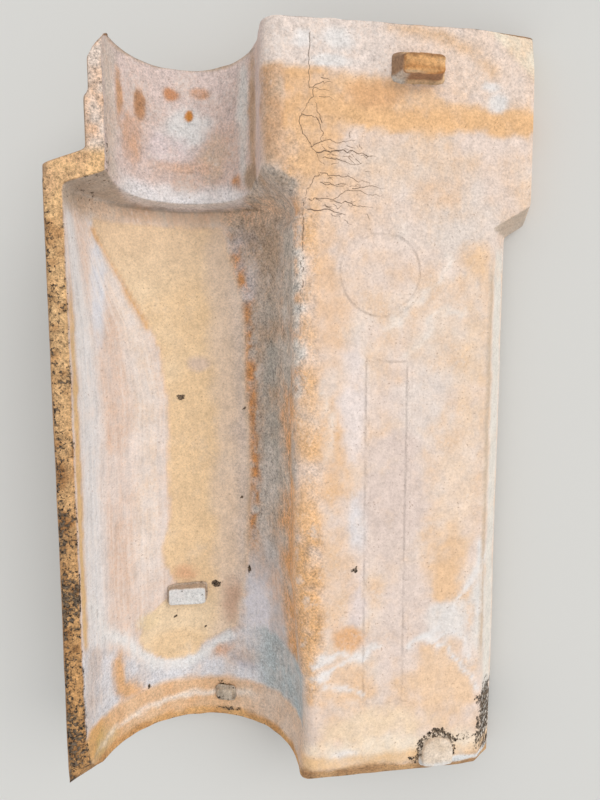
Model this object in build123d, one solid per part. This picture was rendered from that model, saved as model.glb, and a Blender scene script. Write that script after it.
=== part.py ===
from build123d import *
import os
from math import asin, atan2, cos, degrees, hypot, radians, sin, sqrt, tan

# Pressed clay roof tile with one round barrel and one flat pan, one piece of fired clay.
# It is drawn with its underside up: x across the slope from the barrel's free rim to the
# pan's side, y up the slope from tail to head, z out of the underside.
# x = 0 is the barrel's inner wall beside the pan, y = 0 is mid length and z = 0 is the
# pan's underside. The last section turns it over its crown into the way it lies unheld.

# Body, mm
length = 430
wall = 12
barrel_radius = 63.5
barrel_upright = 6
flare_radius = 10
valley_radius = 8
rim_depth = 20

# Neck at the head, which the barrel of the tile above covers
neck_radius = 40.5
neck_upright = 15.5
neck_length = 65
neck_seat_length = 37
neck_seat_drop = 2.5
neck_end_lean = 6.5
neck_corner_radius = 17
neck_nose_run = 19
neck_nose_turn = 34
neck_nose_lean = 11
shoulder_lean = 8
throat_run = 12
throat_steps = 6

# Pan with its side turned up into a water bar on the weather side
pan_width = 121.5
side_lean = 44
side_edge_depth = 15
side_crest_depth = 23.5
side_crest_back = 8.5
side_roll_radius = 14
side_root_radius = 5

# Wider side at the head, with the slanting step where it begins
head_pan_width = 133
head_side_lean = 8
head_roll_radius = 6
step_from_head = 108.5
step_turn = 30
step_lean = 37
step_block = 24
head_corner_x = 33
head_corner_y = 30
head_corner_depth = 7.5

# Tail: the pan's nose thinned from below, the barrel's collar drawn in, its rim bevelled
nose_run = 9
nose_drop = 4
collar_length = 28
collar_radius = 61
rim_bevel_run = 11
rim_bevel_drop = 13

# Rib across the pan's head on the weather side
rib_height = 3
rib_width = 10
rib_from_head = 8

# Nib that hooks over the batten
nib_width = 26.5
nib_top_width = 21
nib_depth = 13
nib_top_depth = 9
nib_height = 12
nib_from_head = 30
nib_from_side = 59.75

# Lugs left by the mould: a bar and a button in the barrel, a half round on the pan
bar_width = 25
bar_depth = 11.5
bar_height = 9
bar_offset = 6
bar_from_tail = 90
button_width = 12
button_depth = 9
button_height = 3
button_turn = 18
button_from_tail = 17.5
half_round_radius = 9.5
half_round_height = 4
half_round_from_side = 41
half_round_from_tail = 17

edge_radius = 2
tip_radius = 2

# Places that follow from the sizes
tail = -length / 2
head = length / 2
axis_x = -barrel_radius
barrel_axis_z = -flare_radius - barrel_upright
neck_axis_z = -flare_radius - neck_upright
barrel_outer = barrel_radius + wall
neck_outer = neck_radius + wall
shoulder_foot = head - neck_length - shoulder_lean
throat_foot = shoulder_foot - wall
mid_pan = pan_width / 2
step_y = head - step_from_head
root_depth = wall / 2


def across(y):
    """Plane square across the tile at y, whose sketch has x across and y out of the underside."""
    return Plane(origin=(0, y, 0), x_dir=(1, 0, 0), z_dir=(0, -1, 0))


def carry(section, start, end):
    """Carry a cross section straight up the slope."""
    return extrude(across(start) * section, amount=end - start, dir=(0, 1, 0))


def weather_side(outer, axis_z, skin):
    """Section filled from the weather side to z = 0: round barrel, valley arc and the pan to mid width."""
    reach = outer + valley_radius
    rise = -skin - valley_radius - axis_z
    run = sqrt(reach**2 - rise**2)
    spring = (axis_x - outer, axis_z)
    crown = (axis_x, axis_z - outer)
    touch = (axis_x + run * outer / reach, axis_z + rise * outer / reach)
    valley_end = (axis_x + run, -skin)
    round_arc = ThreePointArc(spring, crown, touch)
    valley = TangentArc(valley_end, touch, tangent=(-1, 0))
    rest = Polyline(valley_end, (mid_pan, -skin), (mid_pan, 0), (axis_x - outer, 0), spring)
    return make_face([*round_arc.edges(), *valley.edges(), *rest.edges()])


def underside(radius, axis_z, sink=0):
    """Section of the open space over the underside: barrel, flare and pan, the pan sunk into the clay."""
    left = (axis_x - radius, axis_z)
    floor = (axis_x, axis_z - radius)
    right = (axis_x + radius, axis_z)
    flare_start = (axis_x + radius, -flare_radius)
    flare_end = (axis_x + radius + flare_radius - sink, -sink)
    round_arc = ThreePointArc(left, floor, right)
    upright = Line(right, flare_start)
    flare = TangentArc(flare_start, flare_end, tangent=(0, 1))
    clear_side = head_pan_width + wall
    rest = Polyline(flare_end, (clear_side, -sink), (clear_side, wall), (left[0], wall), left)
    return make_face([*round_arc.edges(), *upright.edges(), *flare.edges(), *rest.edges()])


def turned_side(width, lean, roll_radius, crest_back):
    """Section of the pan from mid width to its turned side: rolled over below, crest and root above."""
    slope = tan(radians(lean))
    crest_x = width - crest_back
    path = FilletPolyline(
        (mid_pan, 0),
        (width - side_edge_depth * slope, 0),
        (width, -side_edge_depth),
        (crest_x, -side_crest_depth),
        (crest_x - (side_crest_depth - wall) * slope, -wall),
        (mid_pan, -wall),
        radius=[roll_radius, tip_radius, tip_radius, side_root_radius],
    )
    return make_face([*path.edges(), *Line((mid_pan, -wall), (mid_pan, 0)).edges()])


# Clay up to the weather side: barrel, shoulder drawn in to the neck, neck with its seat
barrel_section = weather_side(barrel_outer, barrel_axis_z, wall)
neck_section = weather_side(neck_outer, neck_axis_z, wall)
seat_section = weather_side(neck_outer - neck_seat_drop, neck_axis_z, wall)
neck_start = shoulder_foot + shoulder_lean
seat_start = head - neck_seat_length
barrel = carry(barrel_section, tail, shoulder_foot)
shoulder = loft([across(shoulder_foot) * barrel_section, across(neck_start) * neck_section], ruled=True)
neck = carry(neck_section, neck_start, seat_start)
seat = carry(seat_section, seat_start, head)

# Turned side of the pan, with the block where the wider head part begins
step_end = step_y + step_block
step_plane = Plane(
    origin=(pan_width, step_y, -side_edge_depth),
    z_dir=(
        cos(radians(step_lean)) * sin(radians(step_turn)),
        -cos(radians(step_lean)) * cos(radians(step_turn)),
        sin(radians(step_lean)),
    ),
)
side_section = turned_side(pan_width, side_lean, side_roll_radius, side_crest_back)
head_section = turned_side(head_pan_width, head_side_lean, head_roll_radius, side_crest_back)
block_crest_back = head_pan_width - pan_width + side_crest_back
block_section = turned_side(head_pan_width, head_side_lean, head_roll_radius, block_crest_back)
side = carry(side_section, tail, step_end)
step = split(carry(block_section, step_y - step_block, step_end), bisect_by=step_plane, keep=Keep.BOTTOM)
head_side = carry(head_section, step_end, head)

# Rib across the pan's head on the weather side, from the neck to the turned side
rib_end = head - rib_from_head
rib_start_x = axis_x + neck_outer
rib_section = Pos(rib_start_x, -wall - rib_height) * Rectangle(
    head_pan_width - side_crest_back - rib_start_x, rib_height + root_depth, align=(Align.MIN, Align.MIN)
)
rib = carry(rib_section, rib_end - rib_width, rib_end)
body = barrel + shoulder + neck + seat + side + step + head_side + rib

# Hollow of the underside from the nose through barrel and throat to the neck
nose_start = tail + nose_run
collar_end = tail + collar_length
collar_section = underside(collar_radius, barrel_axis_z)
hollow_section = underside(barrel_radius, barrel_axis_z)
nose_section = underside(collar_radius, barrel_axis_z, nose_drop)
nose_hollow = loft([across(tail) * nose_section, across(nose_start) * collar_section], ruled=True)
collar_hollow = loft([across(nose_start) * collar_section, across(collar_end) * hollow_section], ruled=True)
barrel_hollow = carry(hollow_section, collar_end, throat_foot)
neck_hollow = carry(underside(neck_radius, neck_axis_z), throat_foot + throat_run, head)
throat_sections = []
for number in range(throat_steps + 1):
    way = number / throat_steps
    share = way * way * (3 - 2 * way)
    radius = barrel_radius + (neck_radius - barrel_radius) * share
    axis_z = barrel_axis_z + (neck_axis_z - barrel_axis_z) * share
    throat_sections.append(across(throat_foot + throat_run * way) * underside(radius, axis_z))
throat = loft(throat_sections)
tile = body - throat - nose_hollow - collar_hollow - barrel_hollow - neck_hollow

# Free rim, cut level along the barrel, the shoulder and the neck
rim_cut = Pos(axis_x, 0, -rim_depth) * Box(
    barrel_outer + wall, length, rim_depth + wall, align=(Align.MAX, Align.CENTER, Align.MIN)
)
rim_x = axis_x - barrel_outer
bevel_edge = Vector(wall, rim_bevel_run, 0)
bevel_drop = Vector(wall, 0, -rim_bevel_drop)
bevel_plane = Plane(origin=(rim_x, tail, -rim_depth), x_dir=bevel_edge, z_dir=bevel_drop.cross(bevel_edge))
bevel_box = Pos(rim_x, tail, -rim_depth) * Box(
    2 * rim_bevel_drop, 2 * rim_bevel_run, 2 * rim_bevel_drop, align=(Align.MIN, Align.CENTER, Align.CENTER)
)
rim_bevel = split(bevel_box, bisect_by=bevel_plane, keep=Keep.TOP)
tile = tile - rim_cut - rim_bevel

# Neck's end: square by the pan, leaning back below the rim's rounded corner, its outer corner cut off
end_height = -rim_depth - neck_corner_radius
end_plane = Plane(origin=(axis_x, head, end_height), z_dir=(0, 1, -tan(radians(neck_end_lean))))
corner_round = Circle(neck_corner_radius)
corner_reach = neck_corner_radius + wall
corner_square = Rectangle(corner_reach, corner_reach, align=(Align.MIN, Align.MIN))
corner_section = Pos(head - neck_corner_radius, end_height) * (corner_square - corner_round)
corner_cut = extrude(Plane.YZ.offset(axis_x - neck_outer - wall) * corner_section, amount=neck_outer + wall)
nose_x = axis_x - neck_outer + neck_seat_drop
nose_turn = radians(neck_nose_turn)
nose_side = Vector(-cos(nose_turn), sin(nose_turn), tan(radians(neck_nose_lean)))
nose_plane = Plane(origin=(nose_x, head - neck_nose_run, -rim_depth), z_dir=nose_side)
tile = split(tile, bisect_by=end_plane, keep=Keep.BOTTOM) - corner_cut
tile = split(tile, bisect_by=nose_plane, keep=Keep.BOTTOM)

# Head corner, pressed down towards the side
corner_x = head_pan_width - head_corner_x
corner_y = head - head_corner_y
corner_edge_x = Vector(corner_x, head, 0) - Vector(head_pan_width, corner_y, 0)
corner_edge_y = Vector(head_pan_width, head, -head_corner_depth) - Vector(head_pan_width, corner_y, 0)
corner_normal = corner_edge_y.cross(corner_edge_x)
corner_plane = Plane(origin=(corner_x, head, 0), x_dir=corner_edge_x, z_dir=corner_normal)
tile = split(tile, bisect_by=corner_plane, keep=Keep.BOTTOM)

# Nib: upright hook face towards the tail, sloping ends and back
hook_y = head - nib_from_head
nib_x = pan_width - nib_from_side
nib_front = Polygon(
    (nib_x - nib_width / 2, 0),
    (nib_x + nib_width / 2, 0),
    (nib_x + nib_top_width / 2, nib_height),
    (nib_x - nib_top_width / 2, nib_height),
    align=None,
)
nib_end = Polygon(
    (hook_y, 0),
    (hook_y + nib_depth, 0),
    (hook_y + nib_top_depth, nib_height),
    (hook_y, nib_height),
    align=None,
)
nib = carry(nib_front, hook_y, hook_y + nib_depth) & extrude(
    Plane.YZ.offset(nib_x - nib_width / 2) * nib_end, amount=nib_width
)

# Bar and button in the barrel, seated in the clay under them
barrel_floor = barrel_axis_z - barrel_radius
bar = Pos(axis_x - bar_offset, tail + bar_from_tail, barrel_floor + bar_height) * Box(
    bar_width, bar_depth, bar_height + root_depth, align=(Align.CENTER, Align.CENTER, Align.MAX)
)
button = (
    Pos(axis_x, tail + button_from_tail, barrel_axis_z)
    * Rot(0, -button_turn, 0)
    * Pos(0, 0, button_height - barrel_radius)
    * Box(
        button_width, button_depth, button_height + root_depth, align=(Align.CENTER, Align.CENTER, Align.MAX)
    )
)

# Half round lug on the pan's tail, its straight legs running to the nose
lug_x = pan_width - half_round_from_side
lug_y = tail + half_round_from_tail
leg = lug_y - nose_start
lug_outline = Circle(half_round_radius) + Rectangle(
    2 * half_round_radius, leg, align=(Align.CENTER, Align.MAX)
)
half_round = extrude(Pos(lug_x, lug_y, 0) * lug_outline, amount=half_round_height)
half_round = fillet(half_round.faces().sort_by(Axis.Z)[-1].edges(), edge_radius)
tile = tile + nib + bar + button + half_round

# Turned to lie unheld, on the barrel's crown and the crest of the wide side
crest = head_section.edges().filter_by(GeomType.CIRCLE).sort_by(lambda arc: arc.arc_center.Y)[0]
crest_x = crest.arc_center.X - axis_x
crest_z = crest.arc_center.Y - barrel_axis_z
lean = degrees(asin((barrel_outer - tip_radius) / hypot(crest_x, crest_z)) + atan2(crest_z, crest_x))
tile = Rot(0, lean, 0) * tile
size = tile.bounding_box()
tile = Pos(-size.center().X, -size.center().Y, -size.min.Z) * tile
tile.label = "roof_tile"
print(f"lean {lean:.3f} degrees, volume {tile.volume / 1000:.1f} cm3, box {size.size}")

os.makedirs("parts", exist_ok=True)
export_step(tile, "parts/roof_tile.step")
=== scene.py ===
import math
import bpy
import numpy as np
from mathutils import Matrix, Vector


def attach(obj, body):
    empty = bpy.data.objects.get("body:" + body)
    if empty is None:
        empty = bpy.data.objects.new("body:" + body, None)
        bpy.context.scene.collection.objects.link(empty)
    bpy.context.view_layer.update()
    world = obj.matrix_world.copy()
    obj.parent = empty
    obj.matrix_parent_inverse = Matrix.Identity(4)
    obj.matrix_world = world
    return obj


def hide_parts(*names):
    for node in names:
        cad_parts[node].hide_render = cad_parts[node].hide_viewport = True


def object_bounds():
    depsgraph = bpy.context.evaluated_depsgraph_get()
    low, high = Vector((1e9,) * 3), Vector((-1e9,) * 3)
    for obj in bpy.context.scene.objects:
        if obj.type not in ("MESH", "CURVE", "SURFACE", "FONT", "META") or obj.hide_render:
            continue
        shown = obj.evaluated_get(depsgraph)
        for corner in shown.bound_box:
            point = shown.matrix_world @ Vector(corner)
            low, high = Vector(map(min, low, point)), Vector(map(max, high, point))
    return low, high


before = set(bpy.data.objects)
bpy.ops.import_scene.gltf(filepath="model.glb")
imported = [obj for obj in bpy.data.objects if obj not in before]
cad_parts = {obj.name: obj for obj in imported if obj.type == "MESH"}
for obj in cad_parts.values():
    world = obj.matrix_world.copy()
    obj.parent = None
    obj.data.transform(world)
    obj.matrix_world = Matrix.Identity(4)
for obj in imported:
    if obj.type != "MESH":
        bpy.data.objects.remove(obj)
frame_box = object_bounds()

# Where the tile lies and how it is seen. Sizes here are in mm in the tile's own frame: x across the
# slope, y up the slope, z out of the underside, with the floor's frame leaned about y. The camera
# looks down on the underside from a little to the left of the ridge, as in the photograph.
lean = math.radians(21.845)
lie_turn = Matrix(((math.cos(lean), 0, math.sin(lean)), (0, 1, 0), (-math.sin(lean), 0, math.cos(lean))))
lie_shift = Vector((9.988, 0, 66.723))


def laid(points):
    """Carry points of the tile's own frame (mm) to the floor's frame (m): lean about y, then shift."""
    return (np.asarray(points, float) @ np.array(lie_turn).T + np.array(lie_shift)) / 1000


def settled(points):
    """Laid points, pressed flat where rough skin would sink into the floor or out of the shape's box."""
    return np.clip(laid(points), np.array(frame_box[0]), np.array(frame_box[1]))


def shown(name, data):
    """A new object in the scene."""
    thing = bpy.data.objects.new(name, data)
    bpy.context.scene.collection.objects.link(thing)
    return thing


view_place = Vector((-48.2, 49.5, 324.48))
view_turn = [math.radians(angle) for angle in (6.102, 7.986, 0.957)]
view_axes = Matrix.Rotation(view_turn[2], 3, "Z") @ Matrix.Rotation(view_turn[1], 3, "Y")
view_axes = (view_axes @ Matrix.Rotation(view_turn[0], 3, "X")).transposed()
eye = bpy.data.cameras.new("camera")
eye.sensor_width = 36
eye.lens = 27
eye.clip_start = 0.01
camera = shown("camera", eye)
camera.matrix_world = (lie_turn @ view_axes).to_4x4()
camera.location = Vector(laid([view_place])[0])
bpy.context.scene.camera = camera


# The tile's body: one piece of clay pressed between two moulds, trimmed at the free rim, dried and
# fired. Its wall is 12 mm throughout. The mesh is one closed skin over a lattice of rows (up the
# slope), columns (rim to side) and layers (through the wall), rounded and roughened after that.
wall = 12
half_length = 215
axis_x, barrel_z = -63.5, -16
collar_radius, barrel_radius, neck_radius = 61, 63.5, 40.5
neck_drop = 9.5
throat_start, throat_end = 130, 142
rim_level, rim_corner = -20, 17
flare_radius, valley_radius = 10, 8
side_edge, head_edge = 121.5, 133
edge_depth, crest_z = 15, -22.6
step_y = 106.5
step_turn, step_lean = math.radians(30), math.radians(33)
side_slope, head_slope = math.tan(math.radians(44)), math.tan(math.radians(15))


def ramp(start, end, x):
    """0 before start, 1 after end, straight between."""
    return np.clip((x - start) / (end - start), 0, 1)


def ease(start, end, x):
    """0 before start, 1 after end, and 3t^2 - 2t^3 between."""
    t = ramp(start, end, x)
    return t * t * (3 - 2 * t)


def fade(start, end, x):
    """1 before start, 0 after end, eased between."""
    return 1 - ease(start, end, x)


def along(corners, share):
    """Points at the given shares of each row's own length along its polyline of corners."""
    legs = corners[:, 1:] - corners[:, :-1]
    reach = np.linalg.norm(legs, axis=2)
    gone = np.cumsum(reach, axis=1) - reach
    walked = share[None, :, None] * reach.sum(1)[:, None, None]
    part = np.clip((walked - gone[:, None]) / np.maximum(reach, 1e-6)[:, None], 0, 1)
    return corners[:, :1] + (part[..., None] * legs[:, None]).sum(2)


def pair(x, z):
    """Stack x and z of a section, both broadcast, as the last axis."""
    return np.stack(np.broadcast_arrays(x, z), axis=-1)


def rim_height(y):
    """Height of the free rim: level, and rounded down in a quarter circle at the neck's end."""
    past = np.clip(y - (half_length - rim_corner), 0, rim_corner)
    return rim_level - rim_corner + np.sqrt(rim_corner**2 - past**2)


def hollow_radius(y):
    """Inside radius: the tail's collar, the barrel, then eased down to the neck's in the throat."""
    barrel = collar_radius + (barrel_radius - collar_radius) * ramp(-206, -187, y)
    return barrel + (neck_radius - barrel) * ease(throat_start, throat_end, y)


def hollow_axis(y):
    """Height of the inside circle's centre, which drops with the radius in the throat."""
    return barrel_z - neck_drop * ease(throat_start, throat_end, y)


def throat_edges(x, z):
    """Where up the slope the throat starts and ends: steep over the floor, 9 mm long at the rim's side
    and a soft 26 mm at the ridge's."""
    turn = np.arctan2(x - axis_x, -20 - z)
    side = np.where(np.abs(turn) > math.pi / 2, 1, np.abs(np.sin(turn)) ** 5)
    soft = ease(0.7, 1.4, turn)
    return 129.8 + 0.2 * side - 14 * soft, 131.6 + 7.4 * side + 3 * soft


def pan_sink(y):
    """How far the pan's face is thinned at the tail's nose."""
    return 4 * (1 - ramp(-half_length, -206, y))


def ridge_swell(x, z, y):
    """How far the ridge bulges into the barrel: 6 mm at its root, none at the tail and in the throat."""
    where = ease(-90, -8, z + 0.8 * np.minimum(x, 0)) * fade(0, 26, x) * (x > axis_x)
    return 6 * where * ramp(-172, -95, y) * fade(122, 138, y)


def corner_press(x, y):
    """How deep the head's corner is pressed down past its fold, on a slanting plane."""
    return 0.2273 * (x - 100) + 0.25 * (y - half_length)


def rim_to_arc(y, radius, axis_z, share, last):
    """From the rim straight down to the circle's height, then round the circle to the angle last."""
    rim = rim_height(y)
    first = -np.arccos(np.clip((axis_z - rim) / radius, 0, 1))
    x0, z0 = axis_x + radius * np.sin(first), axis_z - radius * np.cos(first)
    drop = np.maximum(rim - z0, 0)
    gone = share[None] * (drop + radius * (last - first))
    turn = first + np.maximum(gone - drop, 0) / radius
    upright = gone < drop
    return pair(
        np.where(upright, x0, axis_x + radius * np.sin(turn)),
        np.where(upright, rim - gone, axis_z - radius * np.cos(turn)),
    )


def side_corners(y):
    """Corners of the pan's side from the pan's face to the crest, with the slanting step cut between.
    The step is the plane nx x + ny y + nz z = 0 through the side's edge at step_y."""
    nx, ny = math.cos(step_lean) * math.sin(step_turn), math.cos(step_lean) * math.cos(step_turn)
    nz = math.sin(step_lean)
    past = (y - step_y) * ny
    wide = head_edge - side_edge
    low = np.clip(past / nx, 0, wide)
    side_rise = np.clip(past / (nz - nx * side_slope), 0, edge_depth)
    head_rise = np.clip((past - nx * wide) / (nz - nx * head_slope), 0, edge_depth)
    top = np.clip((past - nz * edge_depth) / nx, -edge_depth * side_slope, wide - edge_depth * head_slope)
    on_side, on_head = side_rise < edge_depth, low >= wide
    top, low = side_edge + top, side_edge + low
    corners = (
        (top, 0),
        (np.where(on_side, side_edge - side_slope * side_rise, top), side_rise - edge_depth),
        (np.where(on_head, head_edge - head_slope * head_rise, low), head_rise - edge_depth),
        (low, -edge_depth),
        (low - 7.6, crest_z),
    )
    return np.stack([pair(x, z) for x, z in corners], axis=1)


def underside_section(y, shares):
    """Rows of the underside: rim and hollow, upright wall and flare, pan, turned side."""
    column = y[:, None]
    radius, axis_z, sink = hollow_radius(column), hollow_axis(column), pan_sink(column)
    arc = rim_to_arc(column, radius, axis_z, shares[0], math.pi / 2)
    flare = flare_radius - sink
    height = -flare_radius - axis_z
    gone = shares[1][None] * (height + flare * math.pi / 2)
    turn = np.maximum(gone - height, 0) / flare
    right = axis_x + radius
    flared = np.where(gone < height, axis_z + gone, -flare_radius + flare * np.sin(turn))
    wall_part = pair(right + flare * (1 - np.cos(turn)), flared)
    corners = side_corners(y)
    corners[..., 1] = np.minimum(corners[..., 1], -sink)
    ridge = right + flare
    pan_part = pair(ridge + shares[2][None] * (corners[:, :1, 0] - ridge), -sink)
    section = np.concatenate([arc, wall_part, pan_part, along(corners, shares[3])], axis=1)
    section[..., 0] -= ridge_swell(section[..., 0], section[..., 1], column)
    return section


def weather_section(y, shares):
    """Rows of the weather side: outer barrel and neck, valley arc, pan with its rib, crest."""
    column = y[:, None]
    narrow = ramp(throat_end, 150, column)
    radius = barrel_radius + wall - (barrel_radius - neck_radius) * narrow - 2.5 * ramp(177, 179, column)
    axis_z = barrel_z - neck_drop * narrow
    reach, rise = radius + valley_radius, -wall - valley_radius - axis_z
    run = np.sqrt(reach**2 - rise**2)
    last = np.arctan2(run, -rise)
    arc = rim_to_arc(column, radius, axis_z, shares[0], last)
    turn = last * (1 - shares[1][None])
    start = axis_x + run
    valley = pair(start - valley_radius * np.sin(turn), valley_radius * (np.cos(turn) - 1) - wall)
    rib = 3 * ramp(196, 198, column) * (1 - ramp(206, 208, column))
    block = ramp(step_y + 23.5, step_y + 24.5, y)
    root = 101.9 + 21 * block
    pan_part = pair(start + shares[2][None] * (root[:, None] - start), -wall - rib)
    crest = np.stack([pair(root, -wall - rib[:, 0]), pair(112.1 + 11.5 * block, crest_z)], axis=1)
    return np.concatenate([arc, valley, pan_part, along(crest, shares[3])], axis=1)


def head_end(z):
    """Where the head's end lies: square by the pan, leaning back by 6.5 degrees below the rim's corner."""
    return half_length - math.tan(math.radians(6.5)) * np.maximum(rim_level - rim_corner - z, 0)


def lattice_points(y, shares, layers):
    """The whole lattice, row by row: weather side and underside joined by straight layers. Rows then
    bend to the throat and the head's end, and nose, free rim's tip and head corner are cut to planes."""
    under, over = underside_section(y, shares), weather_section(y, shares)
    mix = np.linspace(0, 1, layers)[None, None, :, None]
    flat = over[:, :, None] * (1 - mix) + under[:, :, None] * mix
    x, z = flat[..., 0], flat[..., 1]
    rows = np.broadcast_to(y[:, None, None], x.shape)
    foot, lip = throat_edges(x, z)
    before, after = 104, 160
    throat_rows = np.select(
        [rows < before, rows < throat_start, rows < throat_end, rows < after],
        [rows, before + (rows - before) * (foot - before) / (throat_start - before),
         foot + (rows - throat_start) * (lip - foot) / (throat_end - throat_start),
         lip + (rows - throat_end) * (after - lip) / (after - throat_end)],
        rows,
    )
    rows = rows + (throat_rows - rows) * mix[..., 0] * fade(0, 14, x - axis_x - hollow_radius(rows))
    stretched = 179 + (rows - 179) * (head_end(z) - 179) / (half_length - 179)
    rows = np.where(rows > 179, stretched, rows)
    nose_turn, nose_lean = math.radians(34), math.tan(math.radians(11))
    beyond = math.sin(nose_turn) * (rows - half_length + 19) - math.cos(nose_turn) * (x + 113.5)
    beyond = np.maximum(beyond + nose_lean * (z - rim_level), 0) * (x < -95)
    x = x + beyond / math.cos(nose_turn)
    bevel = rim_level - (143 * (x + 139) - 156 * (rows + half_length)) / 132
    z = np.where((x < -112) & (rows < -203) & (z > -34), np.minimum(z, bevel), z)
    pressed = -corner_press(x, rows)
    z = np.where((pressed < 0) & (x > 95), np.minimum(z, pressed), z)
    return np.stack([x, rows, z], axis=-1)


def skin(lattice_shape):
    """Number the lattice's outer points and list the quads of its six faces, each facing outwards."""
    number = np.full(lattice_shape, -1)
    outer = np.zeros(lattice_shape, bool)
    outer[[0, -1]] = outer[:, [0, -1]] = outer[:, :, [0, -1]] = True
    number[outer] = np.arange(outer.sum())
    quads = []
    for sheet, outwards in ((number[:, :, -1], True), (number[:, :, 0], False), (number[0], False),
                            (number[-1], True), (number[:, 0], True), (number[:, -1], False)):
        corners = [sheet[:-1, :-1], sheet[:-1, 1:], sheet[1:, 1:], sheet[1:, :-1]]
        quads.append(np.stack(corners if outwards else corners[::-1], axis=-1).reshape(-1, 4))
    return outer, np.concatenate(quads)


def relaxed(points, quads, passes):
    """Round the edges: each pass moves a point halfway towards the mean of its neighbours."""
    ends = np.concatenate([quads[:, [0, 1]], quads[:, [1, 2]], quads[:, [2, 3]], quads[:, [3, 0]]])
    one, other = np.unique(np.sort(ends, axis=1), axis=0).T
    count = np.bincount(one, minlength=len(points)) + np.bincount(other, minlength=len(points))
    for _ in range(passes):
        total = [
            np.bincount(one, points[other, k], len(points)) + np.bincount(other, points[one, k], len(points))
            for k in range(3)
        ]
        points = points + (np.stack(total, axis=1) / count[:, None] - points) * 0.5
    return points


def outward(points, quads):
    """Unit normal at each point: the sum of its quads' diagonal cross products."""
    cross = np.cross(points[quads[:, 2]] - points[quads[:, 0]], points[quads[:, 3]] - points[quads[:, 1]])
    total = np.zeros_like(points)
    for corner, k in np.ndindex(4, 3):
        total[:, k] += np.bincount(quads[:, corner], cross[:, k], len(points))
    return total / np.maximum(np.linalg.norm(total, axis=1, keepdims=True), 1e-9)


def grainy(points, grain, seed):
    """Smooth random field, -1 to 1: random values on a cubic lattice of that spacing in mm, eased between."""
    table = np.random.default_rng(seed).uniform(-1, 1, (32, 32, 32))
    place = np.asarray(points) / grain + 100
    cell = np.floor(place).astype(int)
    t = place - cell
    t = t * t * (3 - 2 * t)
    total = 0
    for corner in np.ndindex(2, 2, 2):
        share = np.prod(np.where(corner, t, 1 - t), axis=-1)
        total = total + share * table[tuple(((cell + corner) % 32)[..., k] for k in range(3))]
    return total


def mesh_of(name, points, faces, smooth=True):
    """A mesh object from points in the tile's own frame (mm) and faces, at the origin."""
    shape = bpy.data.meshes.new(name)
    shape.from_pydata(settled(points).tolist(), [], faces)
    shape.polygons.foreach_set("use_smooth", np.full(len(faces), smooth))
    return shown(name, shape)


# Rows from start to end in steps of that many mm: finer where the form bends.
row_stops = ((-215, -203, 0.9), (-203, -186, 1.4), (-186, 92, 1.95), (92, 104, 1.5), (104, 153, 0.95),
             (153, 174, 1.9), (174, 182, 1.1), (182, 193, 1.9), (193, 209, 1.1), (209, 215, 0.9))
rows = [np.linspace(start, end, round((end - start) / step) + 1) for start, end, step in row_stops]
rows = np.unique(np.concatenate(rows))
columns = [np.linspace(0, 1, 80)[:-1], np.linspace(0, 1, 14)[:-1], np.linspace(0, 1, 40)[:-1]]
lattice = lattice_points(rows, [*columns, np.linspace(0, 1, 28)], 8)
outer, body_quads = skin(lattice.shape[:3])
plain = lattice[outer]
column_number, layer = np.indices(lattice.shape[:3])[1:, outer]
level = layer / 7
body_points = relaxed(plain, body_quads, 3)
body_normals = outward(body_points, body_quads)

# Distance in mm from the nearest trimmed edge, over which edges are worn and chipped.
x, y, z = plain.T
to_rim = np.hypot(np.minimum(np.abs(x - axis_x + hollow_radius(y)), 60), z - rim_height(y))
to_rim = np.where(x < axis_x, to_rim, 60)
to_end = np.minimum(y + half_length, head_end(z) - y)
wear = np.exp(-np.minimum(to_rim, to_end) / 5) * (0.5 + 0.5 * grainy(plain, 7, 3)) * 0.9
warp = 0.35 * grainy(plain, 70, 1) + 0.18 * grainy(plain, 22, 2) + 0.07 * grainy(plain, 6, 4)
grit = np.exp(-to_rim / 3) * (0.45 * grainy(plain, 2.6, 5) + 0.35 * grainy(plain, 5, 6))
body_points = body_points + body_normals * (warp - wear + grit - 0.5)[:, None]
tile_body = mesh_of("tile_body", body_points, body_quads.tolist())
body_normals = outward(body_points, body_quads)


# What the tile's skin shows: pale pink clay where lime came out of it, ochre where water ran and where
# a batten kept it dry, brown to black where lichen sits on its edges. Each zone keeps these marks: two
# colours, the share of the second, how thick salts and grit stand, and how streaky it is.
mark_names = ("clay", "stain", "share", "salt", "grain", "streaky")


def linear(code):
    """sRGB hex colour to linear."""
    part = np.array([int(code[k : k + 2], 16) for k in (1, 3, 5)]) / 255
    return np.where(part <= 0.04045, part / 12.92, ((part + 0.055) / 1.055) ** 2.4)


def band(x, low, high, soft):
    """1 between low and high, eased to 0 over soft on both sides."""
    return ease(low - soft, low + soft, x) * fade(high - soft, high + soft, x)


def patch(u, v, place, size, ragged=0.0):
    """1 inside an ellipse of half axes size at place, eased out at its edge."""
    away = np.hypot((u - place[0]) / size[0], (v - place[1]) / size[1])
    return 1 - ease(0.45, 1.35, away + 0.5 * ragged)


def stroke(u, v, path, half_width, soft):
    """1 within half_width of a line of points, eased out over soft: distance to the nearest leg."""
    corners = np.array(path, float)
    start, leg = corners[:-1], np.diff(corners, axis=0)
    here = np.stack([u, v], axis=-1)[:, None] - start
    part = np.clip((here * leg).sum(2) / (leg**2).sum(1), 0, 1)
    away = np.linalg.norm(here - part[..., None] * leg, axis=2).min(1)
    return fade(half_width - soft, half_width + soft, away)


def zone(count, clay, stain, share, salt, grain, streaky=0.2):
    """The marks at each of a zone's points."""
    ones = np.ones(count)
    marks = [np.outer(ones, linear(clay)), np.outer(ones, linear(stain))]
    return dict(zip(mark_names, marks + [value * ones for value in (share, salt, grain, streaky)]))


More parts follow.
